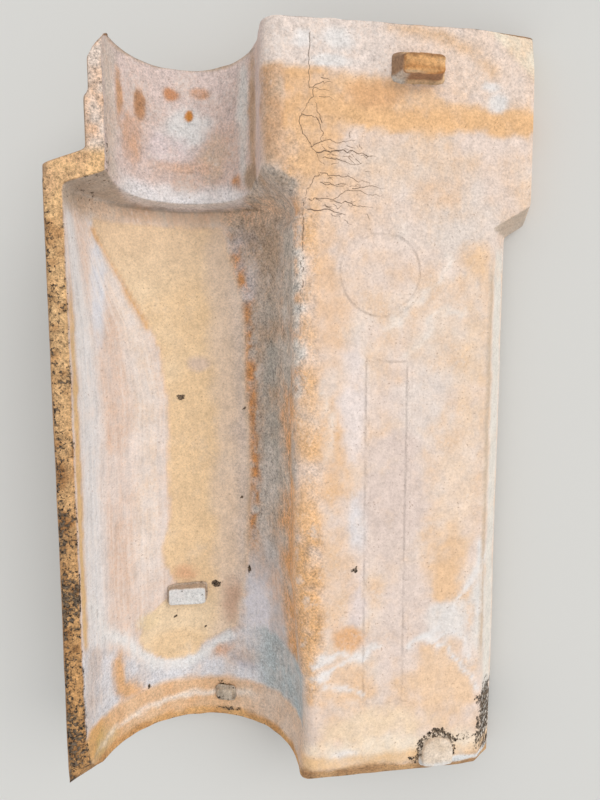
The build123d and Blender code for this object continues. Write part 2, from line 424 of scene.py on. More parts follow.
def paint(on, mask, *marks):
    """Bring a zone's marks, in the order of their names, to new ones where mask is 1; None keeps one."""
    mask = np.clip(mask, 0, 1)
    for name, value in zip(mark_names, marks):
        if isinstance(value, str):
            on[name] = on[name] + (linear(value) - on[name]) * mask[:, None]
        elif value is not None:
            on[name] = on[name] + (value - on[name]) * mask


def coats(on, rows):
    """Paint coat over coat on a zone: each row is a mask and its marks."""
    for mask, *marks in rows:
        paint(on, mask, *marks)


def blots(u, v, rows, where=1):
    """Coats of ragged patches, from rows of place u, v, half sizes along both, and marks."""
    return [(patch(u, v, row[:2], row[2:4], ragged) * where, *row[4:]) for row in rows]


def blended(one, other, part):
    """A zone that turns into another where part is 1."""
    return {
        name: one[name] + (other[name] - one[name]) * (part[:, None] if one[name].ndim == 2 else part)
        for name in one
    }


under = ease(0.9, 1, level)
rim_top = (column_number == 0) & (level > 0)
in_ridge = x + 6 * ramp(-172, -95, y) * fade(122, 138, y) * (z > -60) - axis_x - hollow_radius(y)
angle = np.degrees(np.arctan2(x - axis_x, hollow_axis(y) - z))
coarse, middle, fine = grainy(plain, 34, 11), grainy(plain, 13, 12), grainy(plain, 5, 13)
ragged = 0.5 * middle + 0.5 * fine

# The flat pan: pink cream, warmed to orange down the ridge, down the right and in a band over the
# batten, with white salts in veins and smears.
pan = zone(len(plain), "#e9d4c6", "#e6c09c", 0.32 + 0.2 * coarse + 0.16 * middle, 0.3 + 0.1 * coarse,
           0.8 + 0.3 * ease(60, 130, y))
ridge_path = (-7, 178), (-6, 130), (0, 108), (0, 60), (2, -20), (3, -130), (1, -160)
ridge_run = stroke(x + 2 * ragged, y, ridge_path, 7, 4)
dry_top = np.interp(x, (-8, 20, 45, 62, 76, 112), (191, 189, 186, 184, 181, 177))
dry = ease(155.5, 162.5, y + 2.5 * fine) * fade(-6, 5, y - dry_top + 3 * ragged)
to_right = ease(38, 66, x)
veins = (
    ((69, -128), (75, -125), (81, -119), (90, -108), (97, -97), (104, -86), (110, -79)),
    ((76, -130), (88, -138), (96, -149), (106, -161)), ((62, -131), (72, -127), (84, -126)),
    ((4, -150), (16, -144), (30, -138), (44, -132)), ((5, -140), (14, -136), (24, -134)),
    ((82, -121), (90, -124), (97, -132), (101, -146)), ((104, -70), (107, -90), (106, -112)),
    ((12, -152), (20, -158), (34, -160)),
)
smears = (
    ((46, 56), (62, 66), (74, 76), (82, 90)), ((70, 60), (92, 66)), ((56, 40), (66, 46), (72, 56)),
    ((10, 20), (16, 4), (14, -20)),
)
coats(pan, [
    (ease(-0.1, 0.7, coarse + 0.5 * middle), "#ebdacd"),
    *blots(x, y, (
        (8, 105, 12, 34, None, "#e8bd93", 0.6), (22, 126, 17, 24, None, "#eac5a4", 0.62),
        (76, 128, 16, 12, None, "#e4bf9e", 0.6, 0.2), (99, 88, 12, 14, None, "#ebc49c", 0.64),
        (56, 142, 46, 9, "#e6d2c2", None, 0.36, 0.26), (85, 112, 30, 22, "#e4d4c8", None, None, 0.38),
        (11, 66, 14, 30, None, "#e9c3a1", 0.72), (44, 84, 19, 20, None, None, 0.34, 0.3),
        (84, 40, 26, 22, "#e9d6c6", None, 0.42, 0.36), (97, 22, 9, 56, None, "#e8c6a4", 0.58),
        (68, 10, 16, 26, "#e6d6cb", None, 0.14, 0.36), (13, -14, 15, 40, None, "#e6ba8e", 0.64, 0.36),
        (28, 12, 8, 32, "#ecdcd4", None, 0.12, 0.3), (31, -56, 6, 18, "#e4dcda", None, 0.14, 0.46),
        (54, -40, 21, 44, "#e0cbbf", None, 0.06), (31, -102, 8, 22, "#e6d4cc", None, 0.12),
        (89, -44, 14, 44, None, "#eed2b8", 0.66), (84, -92, 12, 32, None, "#e8c19a", 0.84, 0.16),
        (17, -88, 15, 30, None, "#e6bf99", 0.62, 0.4), (25, -125, 11, 8, None, "#e3b184", 0.85),
        (22, -154, 18, 14, None, "#eac4a0", 0.72, 0.32), (58, -118, 20, 30, "#e4d0c4", None, 0.16),
        (107, -118, 7, 36, "#e4dbd2", None, 0.06, 0.4), (83, -158, 26, 25, None, "#edcaa8", 0.86, 0.12),
        (42, -182, 36, 12, None, "#efd4b5", 0.8, 0.16), (60, -196, 64, 9, "#f3e3d0", "#f0d4b2", 0.45),
        (26, -198, 10, 4, "#eee4dc", None, 0.1, 0.5),
    )),
    (ridge_run, None, "#eabb8c", 0.68 + 0.4 * middle, 0.42, 1.8),
    (ridge_run * band(y, -138, -60, 14), None, "#dfae7c", 0.84 + 0.3 * fine, 0.34 + 0.4 * fine, 2.4),
    (stroke(x + 1.5 * ragged, y, ((-5, 112), (-5, 20)), 4, 3),
     "#e8e1d8", "#e2b287", 0.5 + 0.5 * fine, 0.5 + 0.2 * middle, 3),
    (dry, None, "#ecc49c", 0.72 + 0.3 * coarse, 0.2, 1.2),
    (dry * band(y + 2 * fine, 159, 173, 5) * ease(0, 26, x), None, "#eabb8a", 0.96),
    (dry * fade(8, 26, x + 6 * middle), None, "#e5b584", 0.95),
    *blots(x + 3 * ragged, y, ((6, 150, 15, 24, None, "#e7bb8f", 0.8, 0.15),
                               (7, 181, 16, 7, None, "#e6ba8f", 0.8, 0.22))),
    *blots(x, y, ((86, 180, 13, 5, "#e6cfc0", None, 0.3, 0.3), (36, 176, 15, 9, None, "#e2b081", 0.95))),
    (ease(-3, 4, y - dry_top + 2 * ragged),
     "#e6d5ca", "#ebd0bb", 0.28 + 0.3 * to_right, 0.48 - 0.16 * to_right, 1.4),
    *blots(x, y, [(*place, "#e8e0da", None, 0.1, 0.56) for place in (
        (20, 204, 9, 6), (-1, 204, 6, 6), (14, 193, 13, 3), (108, 177, 7, 6), (103, 184, 6, 3))]),
    (stroke(x, y + fine, ((46, 212), (74, 209), (92, 202), (104, 193)), 3, 4), None, "#e0ba95", 0.75),
    (ease(-0.6, 0.8, corner_press(x, y)) * (x > 80), "#ecdfca", "#e3bd99", 0.35),
    *((stroke(x, y + 3.2 * fine + middle, path, 1, 2.8), "#ece7e3", None, 0.05, 0.8 + 0.3 * fine)
      for path in veins),
    *blots(x, y, [(88, -117, 15, 11, "#e6ddd6", None, 0.15, 0.5 + 0.3 * fine)]),
    *((stroke(x, y + 4 * fine, path, 1, 3.4), "#f0e4d8", None, 0.2, 0.44) for path in smears),
    # Painted highlight and painted shade: a pale band on the rolled right edge and a darker line in the
    # groove inside it.
    (band(x + fine, 111, 120, 2.5) * band(y, -200, 98, 6), "#e3dbd0", None, 0.1),
    (band(x + 0.5 * fine, 106.5, 109, 1.5) * band(y, -140, 90, 12), "#cdb9a4", "#c8a888", 0.3),
    (band(y, -209, -198, 3), None, "#eac294", 0.7, 0.1),
    (fade(-209, -203, y + 2 * fine), "#d4a878", "#a87d55", 0.55 + 0.35 * middle, 0.1, 2.4),
])


# The barrel's hollow: ochre ran down its middle between two lines, while pink and white streaks follow
# the left one up to the throat. The right wall is grey with orange flakes at the ochre's shore.
def shore_line(*stops):
    """Angle round the barrel, over y, of a stain's edge through stops of y and angle."""
    down, turn = np.array(stops, float).T
    return np.interp(-y, -down, turn)


left_line = shore_line(
    (118, -60), (95, -46), (79, -35), (57, -24), (41, -18.5), (8, -14.5), (-39, -15.6), (-73, -15),
    (-90, -20), (-104, -19), (-119, -11), (-128, -17), (-137, -30), (-150, -36), (-162, -32),
    (-172, -18), (-178, -5),
)
right_line = shore_line(
    (120, 19), (97, 24), (73, 30), (47, 32), (21, 32), (-11, 34), (-45, 35), (-73, 33), (-101, 32),
    (-130, 28), (-149, 23), (-156, 12), (-162, 4), (-170, 0), (-178, -4),
)
past_right = angle - right_line
fan_line = np.interp(y, (-215, -128, -90, 8, 57, 95, 118, 140), (-16, -17, -18, -14.5, -24, -46, -60, -64))
across_fan = (angle + 86) / (fan_line + 86)
arc = 1.1 * angle
grey = ease(-2, 7, past_right + 2 * middle) * ease(-190, -140, y) * (y < 140)
shore = band(past_right + 3 * fine + 2 * middle, 0.5, 8, 2) * band(y, -84, 112, 10)
flow = ease(-1.5, 1.5, angle - left_line + 1.2 * ragged) * ease(-3, 3, 1.5 * ragged - past_right)
flow = flow * band(y + 2 * middle, -177, 119, 3)
column = ease(58, 72, angle + 4 * ragged - 5 * ramp(-100, -190, y)) * (y < 128)
tail_line = np.interp(angle, (-70, -43, -30, -11, 1, 5, 17, 23, 44, 70),
                      (-137, -160, -171, -176, -168, -160, -154, -151, -145, -150))
tail_bloom = fade(-4, 3, y - tail_line + 4 * ragged) * ease(-190, -184, y + 1.5 * fine)
tail_wave = ((-78, -110), (-66, -136), (-52, -146), (-42, -158), (-30, -172), (-8, -178), (6, -168),
             (22, -156))
collar = fade(-190, -185, y + 1.2 * fine)
hollow = zone(len(plain), "#e9dad1", "#e0bfa6", 0.34 + 0.2 * coarse + 0.1 * middle, 0.44 + 0.1 * coarse,
              0.8, 1)
coats(hollow, [
    (band(across_fan, 0.13, 0.38, 0.09), "#e6e4e4", None, 0.04, 0.6),
    *blots(across_fan, y, [(0.52, -15, 0.06, 12, None, "#dbae8c", 0.8)]),
    (band(across_fan, 0.46, 0.64, 0.07) * band(y, -110, 60, 24), None, "#dfbfa8", 0.52 + 0.4 * coarse),
    (band(across_fan, 0.72, 0.95, 0.08) * band(y, -110, 110, 20), "#ecdfd6", "#e6c9ad", 0.36),
    (fade(-87, -84, angle) * band(y, -190, 100, 20), "#e2e0e0", None, 0.05, 0.6),
    (band(angle + fine, -83, -77.5, 1.8) * fade(40, 100, y), None, "#e3c18f", 0.95, 0.12),
    *blots(arc, y, [(-62, 84, 6, 38, "#e0e0e6", None, 0.1, 0.62)]),
    (stroke(arc + ragged, y, ((-64, 112), (-52, 98), (-40, 78), (-28, 56)), 2.2, 2.2),
     None, "#dfb384", 0.9, 0.15),
    (grey, "#c3b6aa", "#bca085", 0.34 + 0.4 * middle, 0.44 + 0.24 * fine, 2.8, 0.45),
    *blots(arc, y, (
        (38, 96, 11, 30, "#d2c8c6", None, None, 0.52), (62, 104, 14, 22, "#bfae9d", "#b99d82", None, 0.36),
        (60, -10, 10, 80, "#b8b3ab", None, None, 0.44), (53, -60, 11, 34, "#cdc5bd", None, None, 0.52),
    ), grey),
    (grey * ease(-60, -120, y), "#cfcaca", "#d9b193", None, 0.5, 1.1),
    (band(past_right + 2.5 * ragged, -4, 1, 2.5) * band(y, -125, 30, 12), "#cfb8a4", "#bf9c82", 0.7),
    (shore, None, "#cf945f", 0.7 + 0.7 * fine, 0.25 + 0.3 * middle, 2.8, 0.3),
    (band(past_right + 1.5 * fine, -1.2, 0.6, 0.8) * band(y, -90, 40, 10), "#a98a6c", "#a98a6c", None, 0.1),
    (flow, "#ecd8c4", "#ebcba2", 0.94 + 0.2 * coarse, 0.12, 1, 0.25),
    (flow * ease(0, 0.7, coarse + 0.3 * middle), None, "#edd3b0"),
    (flow * ease(62, 118, y), "#e4cebb", "#ebcdaa"),
    (flow * ease(6, 18, angle + 4 * middle), None, "#e6cdb4", None, 0.2),
    (flow * ease(19, 32, angle + 4 * middle), None, "#dac7b8", None, 0.34, 1.5),
    *blots(arc, y, [(5, 32, 7, 5, None, "#dcc3ae")], flow),
    *blots(arc, y, [(-7, -112, 9, 6, None, "#e0b38d", 0.95)]),
    *blots(arc, y, [(26, -132, 9, 18, None, "#ccab93", None, 0.2)], flow),
    (column, "#cfc2b6", "#d3a982", 0.4 + 0.5 * coarse, 0.4 + 0.2 * fine, 2.8, 0.2),
    (column * band(y, -70, 112, 16), "#cbc4bb", "#c29a76", 0.3 + 0.5 * middle, 0.46 + 0.3 * fine, 3.2),
    (band(in_ridge + 3 * ragged, -3, 4, 3) * band(y, -170, 20, 12),
     None, "#e3af7c", 0.6 + 0.5 * middle, 0.34 + 0.3 * fine),
    (band(angle + 4 * ragged, 33, 50, 5) * band(y, -186, -112, 12), "#dfdce2", None, 0.05, 0.5),
    (tail_bloom, "#dcdadd", "#cfb9aa", 0.34 + 0.4 * middle, 0.5, 1.6, 0.5),
    (stroke(arc, y + 2 * ragged, tail_wave, 3, 4), "#e9e8e6", None, 0.05, 0.72, 1.6),
    (tail_bloom * ease(30, 50, angle + 5 * middle), "#bcc6c9", "#bfb9b4", None, 0.42 + 0.2 * fine, 2.4),
    *blots(arc, y, [(30, -172, 13, 7, "#b9b6bd", None, None, 0.4)], tail_bloom),
    (stroke(arc + 3 * ragged, y, ((-58, -160), (-54, -178), (-44, -188)), 6, 5), None, "#e4b586", 0.95, 0.12),
    *blots(arc, y, ((17, -167, 9, 7, None, "#d3ab91", 0.8, 0.2), (-33, -140, 8, 6, None, "#e6cda6", 0.8))),
    (collar, "#e2bd98", "#dba97a", 0.45 + 0.3 * coarse, 0.12, 1.5, 0.1),
    (collar * band(y + 2 * fine - 0.06 * angle, -200, -196, 2), "#f1e2d3", None, 0.2, 0.4),
    (collar * fade(-74, -44, angle), None, "#deb076", 0.8),
    *blots(arc, y, [(-73, -204, 13, 9, None, "#c3a566", 0.5)], collar),
    (collar * ease(15, 50, angle), "#e0cbb9", "#d8b596", 0.35),
    (fade(-211, -206, y + 1.5 * fine), "#dbab74", "#b88350", 0.4 + 0.3 * middle, 0.1, 2.2),
])

# Throat and neck: granular white salts over lilac clay and rust spots. Where the throat's lip meets the
# barrel's floor the crevice is painted dark as shade, and the left notch and the floor below the lip carry
# painted shade too.
foot, lip_edge = throat_edges(x, z)
over_lip = y - (129.9 + 1.2 * (lip_edge - 131.6))
white_lip = ease(-1, 1, over_lip) * fade(5, 15, over_lip + 3 * ragged) * band(angle, -62, 50, 12)
neck = zone(len(plain), "#dac6be", "#cda68a", 0.3 + 0.3 * coarse + 0.2 * middle, 0.46 + 0.18 * middle,
            1.7, 0.3)
coats(neck, [
    *blots(0.71 * angle, y, (
        (-29, 186, 5, 9, None, "#b98a66", 1, 0.16), (-45, 186, 4, 15, None, "#cfa27e", 0.9, 0.2),
        (-8, 196, 5, 4, None, "#c98f68", 0.8, 0.3), (9, 197, 7, 4, None, "#cf9a74", 0.75, 0.3),
        (-36, 165, 8, 16, None, "#d3a98c", 0.7, 0.36), (2, 176, 17, 12, "#dedbd8", None, 0.12, 0.66),
        (-12, 162, 14, 10, "#ddcdcb", None, 0.16), (17, 160, 11, 17, None, "#cdb096", 0.6, 0.42),
        (40, 178, 6, 36, "#dbd6d0", None, 0.2, 0.5), (52, 172, 6, 36, "#d3bda9", "#bb987a", 0.6, 0.3),
        (33, 141, 5, 6, None, "#c98d58", 0.9, 0.2), (-4, 153, 18, 5, None, "#dcb294", 0.65, 0.4),
        (-56, 175, 10, 44, "#dccfc3", None, 0.3, 0.46), (0, 213, 60, 2.6, "#c9b6a4", "#a98e77", 0.5, 0.36),
        (50, 142, 9, 9, "#b7a48f", "#a88c74", 0.5, 0.25), (2, 184, 2.4, 3.4, None, "#d1893f", 1.15, 0.1),
    )),
    (white_lip, "#e9e4e4", "#d8cdc8", 0.25 + 0.3 * middle, 0.66, 2.2),
])
notch = fade(-56, -30, angle + 8 * middle) * band(y + 3 * ragged, 119, 150, 7) * (over_lip < 1)
step_wall = band(y - foot, 0, 20, 1) * (over_lip < 0.5) * (angle < 40)
coats(hollow, [
    # Painted shade: the notch in the throat's left corner is grey-brown, with white salts over it.
    (notch, "#c9bbac", "#b59c84", 0.45, 0.36, 1.5, 0.5),
    # Painted shadow: a brownish band on the barrel's floor just below the throat's lip.
    (band(y + 2 * fine, 121, 131, 4) * band(angle, -66, 66, 8), "#e2d0be", "#d9b89b", 0.6, 0.3),
    (step_wall, "#ddd2c8", None, 0.2, 0.4),
    # Painted shade: the left part of the throat's step wall is grey-brown.
    (step_wall * fade(-52, -30, angle + 5 * middle), "#cabcae", "#b8a18b", 0.4, 0.36, 1.5),
])
hollow = blended(hollow, neck, ease(-0.6, 0.6, over_lip))
# Painted shade: a thin dark line in the crevice at the throat's foot.
crevice_shade = band(y - foot + 0.6 * fine, -0.9, 0.3, 0.8) * band(angle, -46, 52, 12)
paint(hollow, crevice_shade * 0.5, "#7b6856", "#7b6856", None, 0)
flank = band(in_ridge + 2 * ragged, -3, 12, 3) * ease(134, 144, y) * fade(184, 198, y + 6 * middle)
paint(pan, flank, "#dcbfa4", "#c99b73", 0.6 + 0.3 * middle, 0.3, 1.8)

# Outside and edges: brown patina with grey growth on the weather side, speckled clay on the rim.
outside = zone(len(plain), "#b98f6c", "#cfa27a", 0.4 + 0.2 * middle, 0.2, 1.4)
coats(outside, [
    (ease(0, 0.7, coarse + 0.5 * middle) * 0.75, "#938a7c"),
    (ease(-0.2, 0.6, -coarse), None, "#7d7365"),
])
into_pan = ease(-2.5, 3.5, in_ridge + 0.6 * np.minimum(z + 10, 0) + 1.6 * ragged)
skin_marks = blended(outside, blended(hollow, pan, into_pan), under)
step_face = ease(0.3, 0.5, -body_normals[:, 1]) * band(y, 101, 126, 2) * (x > 108) * (z > -17)
rim_y = y + 20 * middle
coats(skin_marks, [
    ((level < 1) & (level > 0) & ~rim_top, "#c9a077", "#a87a50", None, 0.12, 1.8),
    (step_face, "#cdbcab", "#c6ae98", 0.4, 0.2),
    (rim_top, "#dcb07e", "#a9784a", 0.42 + 0.5 * fine, 0.16, 3.2),
    (rim_top * fade(-170, 20, rim_y), "#cd9b65", "#94683e"),
    (rim_top * ease(-10, 60, rim_y), "#dfb583", "#bd8f60"),
    (rim_top * ease(112, 128, y), "#e6bb88", "#dcb084"),
    (rim_top * ease(146, 154, y), "#e3cfc0", "#dcb596", None, 0.36),
    *blots(x, y, [(97, -208, 22, 3.2, "#dfe0de", None, 0.05, 0.85)], under),
])

# How thick the black lichen stands at each point: on the rim, on the nose and in a few single spots. The
# same dark grains carry painted shade round the half round lug's foot and in the throat's left notch.
on_rim = rim_top | ((to_rim < 3) & (y < 150))
rim_crust = 0.46 + 0.03 * (y < -60) + 0.16 * middle + 0.12 * ease(0.6, 0.1, level) - 0.09 * ramp(-60, 100, y)
rim_crust = rim_crust - 0.13 * ease(112, 128, y) - 0.14 * ease(146, 154, y)
lug_ring = np.abs(np.hypot(x - 80.5, np.maximum(y + 198, 0)) - 10.4)
in_barrel = under * (in_ridge < 0)
on_pan = under * (z > -12)
lichen_and_shade_marks = [
    0.02 + 0.08 * ease(0.2, 0.9, coarse),
    np.where(on_rim, rim_crust, 0),
    0.44 * fade(0.5, 4.5, to_end) * (y < 0) + 0.05 * fine,
    0.36 * fade(0, 18, y + half_length) * (0.7 + 0.5 * middle),
    patch(x, y, (114, -184), (13, 26), ragged) * (level > 0.3) * 0.66 * ease(98, 107, x),
    # Painted shade: a dark ring of grains round the half round lug's foot, open at the nose.
    fade(0.5, 4, lug_ring + fine) * under * ease(-211, -203, y) * (z > -6) * 0.66,
    patch(x, y, (97, -193), (10, 4), ragged) * under * 0.46,
    patch(x, y, (66, -205), (8, 4), ragged) * under * 0.5,
    patch(arc, y, (19, -196), (10, 8), ragged) * in_barrel * 0.5,
    patch(arc, y, (20, -209), (12, 2.5), ragged) * in_barrel * 0.55,
    # Painted shade: dark grains in the throat's left notch.
    notch * in_barrel * 0.34,
    band(angle, -93, -84, 2) * band(y, 128, 172, 8) * under * 0.44,
    (1 - under) * (level < 0.5) * (0.22 + 0.3 * ease(0, 0.7, coarse + 0.4 * middle)),
]
for spot in ((-7.5, 9.7, 3, 2.4), (13.4, -120.2, 3.6, 3.2), (-14.2, -141, 1.4, 1.4), (35, 2, 0.9, 1),
             (33, -57, 1.1, 1.3), (6, -150.6, 1.4, 1.4), (29.3, -105, 1.2, 1.2), (38, -107, 1.8, 3.4),
             (-33, -187, 1.7, 2.2)):
    lichen_and_shade_marks.append(patch(arc, y, spot[:2], spot[2:]) * in_barrel * 0.95)
for spot in ((29, -84, 2.4, 1.5), (-1, 15, 1, 1), (2, -12, 0.9, 0.9)):
    lichen_and_shade_marks.append(patch(x, y, spot[:2], spot[2:]) * on_pan * 0.95)

# Streaks run down the slope, and in the barrel's left half they fan out with the ochre's edge.
fanned = np.where(across_fan < 1, across_fan * 62, 62 + (angle - fan_line) * 1.1)
neck_run = 128 + (y - 128) * 12
run = np.where(in_ridge < -2, fanned, x + 100)
streak_lines = np.column_stack([run, np.where(in_ridge < -2, np.where(y > 128, neck_run, y), 3 * y), 0 * y])


def keep_marks(thing, points, marks, lichen_and_shade, lines=None):
    """Store what the skin shows as the mesh's own attributes, which its material reads."""
    shape = thing.data
    ones = np.ones(len(points))
    for name, value in {**marks, "lichen_and_shade": lichen_and_shade}.items():
        if name in ("clay", "stain"):
            painted = shape.attributes.new(name, "FLOAT_COLOR", "POINT")
            painted.data.foreach_set("color", np.column_stack([value, ones]).ravel())
        else:
            shape.attributes.new(name, "FLOAT", "POINT").data.foreach_set("value", value * ones)
    for name, vector in (("place", points), ("lines", points if lines is None else lines)):
        shape.attributes.new(name, "FLOAT_VECTOR", "POINT").data.foreach_set("vector", np.ravel(vector))


keep_marks(tile_body, body_points, skin_marks, np.max(lichen_and_shade_marks, axis=0), streak_lines)


# The clay as a material: fired terracotta, pressed and unglazed, so it is matt and finely pored. It reads
# those marks and lays tone, salts, pores and lichen, with the painted shade carried in the lichen's mark,
# over one another, then adds the relief of them all.
terracotta = bpy.data.materials.new("weathered terracotta")
terracotta.use_nodes = True
tree = terracotta.node_tree
tree.nodes.clear()


def node(kind, inputs=(), **settings):
    """Add a node, set its settings, and set or link its inputs by name or number."""
    made = tree.nodes.new(kind)
    for name, value in settings.items():
        setattr(made, name, value)
    for key, value in dict(inputs).items():
        if isinstance(value, bpy.types.NodeSocket):
            tree.links.new(value, made.inputs[key])
        else:
            made.inputs[key].default_value = value
    return made


def mark(name, kind="Fac"):
    """One of the marks kept on the mesh."""
    return node("ShaderNodeAttribute", attribute_name=name).outputs[kind]


def noise(at, size, detail, roughness=0.6):
    """Fractal noise on mm coordinates, its largest grain in mm along x, y and z."""
    scaled = node("ShaderNodeVectorMath", {0: at, 1: [1 / mm for mm in size]}, operation="MULTIPLY")
    look = {"Vector": scaled.outputs[0], "Scale": 1, "Detail": detail, "Roughness": roughness}
    return node("ShaderNodeTexNoise", look).outputs["Fac"]


def sums(kind, a, b=0):
    """One step of arithmetic."""
    return node("ShaderNodeMath", {0: a, 1: b}, operation=kind).outputs[0]


def plus(value, *parts):
    """Value plus sources, each times its amount."""
    for source, amount in parts:
        value = sums("ADD", value, sums("MULTIPLY", source, amount))
    return value


def swung(value, *parts):
    """Value plus noises centred on their mean, each times its amount."""
    return plus(value, *((sums("SUBTRACT", source, 0.5), amount) for source, amount in parts))


def streaked(amount):
    """An amount that counts where the streaky mark is high."""
    return sums("MULTIPLY", streaky, amount)


def stepped(value, low, high, out_low=0, out_high=1):
    """Map low..high to out_low..out_high, eased and held beyond."""
    ends = {"From Min": low, "From Max": high, "To Min": out_low, "To Max": out_high}
    steps = node("ShaderNodeMapRange", {"Value": value, **ends}, interpolation_type="SMOOTHSTEP")
    return steps.outputs["Result"]


def mixed(part, a, b, how="MIX"):
    """Mix two colours, the second a socket or a hex code."""
    b = (*linear(b), 1) if isinstance(b, str) else b
    inputs = {"Factor": part, "A": a, "B": b}
    return node("ShaderNodeMix", inputs, data_type="RGBA", blend_type=how).outputs[2]


place, lines = mark("place", "Vector"), mark("lines", "Vector")
grain, streaky = mark("grain"), mark("streaky")
clouds = noise(place, (13, 15, 13), 2, 0.5)
patches = noise(place, (11, 13, 11), 4, 0.55)
clots = noise(place, (3.6, 4.4, 3.6), 5)
flakes = noise(place, (2.2, 2.6, 2.2), 5, 0.68)
sand = noise(place, (1.25, 1.25, 1.25), 3, 0.75)
wide_streak = noise(lines, (3.4, 60, 3), 4, 0.5)
thin_streak = noise(lines, (2.1, 44, 1), 5, 0.65)

# Second colour in soft clouds over the first.
border = swung(mark("share"), (clouds, 1), (wide_streak, streaky), (thin_streak, streaked(0.25)))
border = swung(border, (clots, 0.35))
body = mixed(stepped(border, 0.05, 0.95), mark("clay", "Color"), mark("stain", "Color"))
# Tone: cloudy at a cm, sandy at a mm, more so where the grain mark is high.
speckle, lumps = (sums("MULTIPLY", sums("SUBTRACT", source, 0.5), grain) for source in (sand, clots))
tone = sums("ADD", plus(sums("MULTIPLY", speckle, 0.85), (lumps, 0.5)), 0.985)
tone = swung(tone, (patches, 0.34), (thin_streak, streaked(0.42)), (wide_streak, streaked(0.3)))
grey = node("ShaderNodeCombineColor", {"Red": tone, "Green": tone, "Blue": tone}).outputs["Color"]
body = mixed(1, body, grey, "MULTIPLY")
# Salts: white grains and threads, down the streaks and in clots, tinted by the clay they dried on.
lime = swung(mark("salt"), (wide_streak, streaked(0.9)), (thin_streak, streaky), (flakes, 0.9), (clouds, 0.7))
lime_cover = stepped(lime, 0.38, 0.86, 0, 0.8)
body = mixed(lime_cover, body, mixed(0.6, body, "#f1ebe7"))
# Pores: dark pin pricks of half a mm, drawn twice that size to show.
pores = stepped(swung(noise(place, (1.5, 1.5, 1.5), 2), (patches, 0.3)), 0.66, 0.76, 0, 0.42)
body = mixed(pores, body, "#8d6c50")
# Lichen, and painted shade round the lugs' feet and in the throat's left notch: black-brown crust in
# grains, thick where the mark is high.
seeds = noise(place, (2.3, 2.6, 2.3), 5, 0.7)
lichen_and_shade_cover = stepped(swung(mark("lichen_and_shade"), (seeds, 1.7), (sand, 0.6)), 0.52, 0.62)
brown = stepped(noise(place, (1.4, 1.4, 1.4), 3), 0.36, 0.66)
body = mixed(lichen_and_shade_cover, body, mixed(brown, (*linear("#2a211a"), 1), "#83705c"))

# Plain raised marks of the mould on the pan: an empty ring and an empty long frame.
right, up, out = node("ShaderNodeSeparateXYZ", {0: place}).outputs
ring_radius, frame_half_width, frame_half_length = 22.5, 11.8, 101
from_x, from_y = sums("SUBTRACT", right, 44), sums("SUBTRACT", up, 84.5)
ring_reach = sums("SQRT", sums("ADD", sums("MULTIPLY", from_x, from_x), sums("MULTIPLY", from_y, from_y)))
ring_line = sums("ABSOLUTE", sums("SUBTRACT", ring_reach, ring_radius))
side_gap = sums("SUBTRACT", sums("ABSOLUTE", sums("SUBTRACT", right, 48.2)), frame_half_width)
end_gap = sums("SUBTRACT", sums("ABSOLUTE", sums("ADD", up, 64)), frame_half_length)
frame_line = sums("ABSOLUTE", sums("MAXIMUM", side_gap, end_gap))
moulded = stepped(sums("MINIMUM", ring_line, frame_line), 0.6, 2.6, 1.3, 0)
moulded = sums("MULTIPLY", moulded, stepped(out, -6, -4))
height = plus(
    sums("MULTIPLY", patches, 0.8), (sums("MULTIPLY", sand, grain), 0.44), (clots, 0.55), (lichen_and_shade_cover, 0.8),
    (lime_cover, 0.22), (pores, -0.5), (moulded, stepped(patches, 0.38, 0.6, 0.3, 1)),
)
relief = node("ShaderNodeBump", {"Height": height, "Strength": 0.8, "Distance": 0.0009})
rough = stepped(clots, 0.3, 0.7, 0.82, 0.95)
coat = node("ShaderNodeBsdfPrincipled", {
    "Base Color": body, "Roughness": rough, "IOR": 1.5, "Specular IOR Level": 0.3,
    "Normal": relief.outputs["Normal"],
})
node("ShaderNodeOutputMaterial", {"Surface": coat.outputs["BSDF"]})

tile_body.data.materials.append(terracotta)
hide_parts("roof_tile")
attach(tile_body, "root")


# Fine roots dried onto the pan and along the ridge: dark threads a third of a mm thick, which branch
# from the ridge over the batten's stain and are half sunk in the skin.
near = (np.abs(body_points[:, 0] - 20) < 45) & (body_points[:, 1] > 50) & (level == 1)
pan_skin = body_points[near]


def root_thread(path, seed, thick):
    """A closed tube of five sides round a wandering line: points and faces. Its thickness runs out
    to the end, and it lies on the tile's skin at the height of the nearest point of the body."""
    corners = np.array(path, float)
    length = np.concatenate([[0], np.cumsum(np.linalg.norm(np.diff(corners, axis=0), axis=1))])
    stops = np.linspace(0, length[-1], max(int(length[-1] / 0.6), 4))
    straight = np.column_stack([np.interp(stops, length, corners[:, k]) for k in range(2)] + [0 * stops])
    line = straight[:, :2]
    for grain, first, swing in ((2.3, seed, 0.9), (0.9, seed + 2, 0.35)):
        line = line + np.column_stack([grainy(straight, grain, first + k) for k in range(2)]) * swing
    away = ((pan_skin[None, :, :2] - line[:, None]) ** 2).sum(2)
    height = pan_skin[away.argmin(1), 2] + 0.05
    way = np.gradient(line, axis=0)
    way /= np.linalg.norm(way, axis=1, keepdims=True)
    turns = np.arange(5) * 2 * math.pi / 5
    fat = thick * (1 - 0.75 * np.linspace(0, 1, len(line)) ** 2)[:, None]
    tube = np.stack([
        line[:, :1] - way[:, 1:] * np.cos(turns) * fat,
        line[:, 1:] + way[:, :1] * np.cos(turns) * fat,
        height[:, None] + np.sin(turns) * fat,
    ], axis=-1)
    number = np.arange(len(line) * 5).reshape(-1, 5)
    beside = np.roll(number, -1, axis=1)
    quads = np.stack([number[:-1], number[1:], beside[1:], beside[:-1]], axis=-1).reshape(-1, 4)
    return tube.reshape(-1, 3), quads.tolist() + [number[0].tolist(), number[-1][::-1].tolist()]


